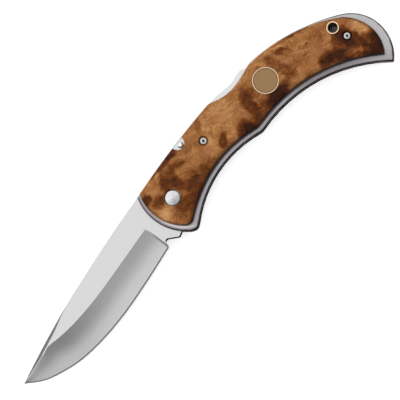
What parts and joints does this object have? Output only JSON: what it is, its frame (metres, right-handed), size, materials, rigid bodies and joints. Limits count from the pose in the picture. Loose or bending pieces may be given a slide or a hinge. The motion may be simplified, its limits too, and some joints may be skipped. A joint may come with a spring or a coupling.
{
  "type": "folding pocket knife",
  "caption": "Folding hunting knife with a hollow ground blade, a lock bar in its back and burl wood scales on a curved stainless frame.",
  "frame": {"origin": "on the blade pivot's axis, in the plane of the back scale's outer face that the knife rests on", "axes": "+X along the handle from the pivot to the butt (the open blade points to -X), +Y to the spine, +Z out of the front scale with the medallion"},
  "size_m": [0.2262, 0.0558, 0.0146],
  "materials": {
    "blade_steel": "satin flats with a polished hollow grind",
    "frame_steel": "polished edges",
    "spring_steel": "plain",
    "pin_steel": "bright",
    "bronze": "plain",
    "brass": "satin",
    "burl_wood": "oiled and buffed burl",
    "tan_inlay": "aged matt"
  },
  "bodies": {
    "handle": {"lock_spring": "spring_steel", "back_spacer": "frame_steel", "liner_front": "frame_steel", "liner_back": "frame_steel", "scale_front": "burl_wood", "scale_back": "burl_wood", "pivot_barrel": "pin_steel", "pivot_stud": "pin_steel", "washer_front": "bronze", "washer_back": "bronze", "rocker_pin": "pin_steel", "spacer_pin_fore": "pin_steel", "spacer_pin_butt": "pin_steel", "scale_screw_front_fore": "pin_steel", "scale_screw_front_butt": "pin_steel", "scale_screw_back_fore": "pin_steel", "scale_screw_back_butt": "pin_steel", "lanyard_tube": "brass", "medallion_ring": "brass", "medallion_disc": "tan_inlay"},
    "blade": {"blade": "blade_steel"},
    "lock_bar": {"lock_bar": "frame_steel"}
  },
  "joints": [
    {"name": "blade_fold", "type": "hinge", "parent": "handle", "child": "blade", "pos_m": [0, 0, 0.0072], "axis": [0, 0, 1], "range_deg": [0, 167]},
    {"name": "lock_bar", "type": "hinge", "parent": "handle", "child": "lock_bar", "pos_m": [0.0211, 0.012, 0.0072], "axis": [0, 0, 1], "range_deg": [0, 2.9], "stiffness_Nm_per_rad": 0.6, "springref_deg": 28.65, "deforming": ["lock_spring"]}
  ]
}
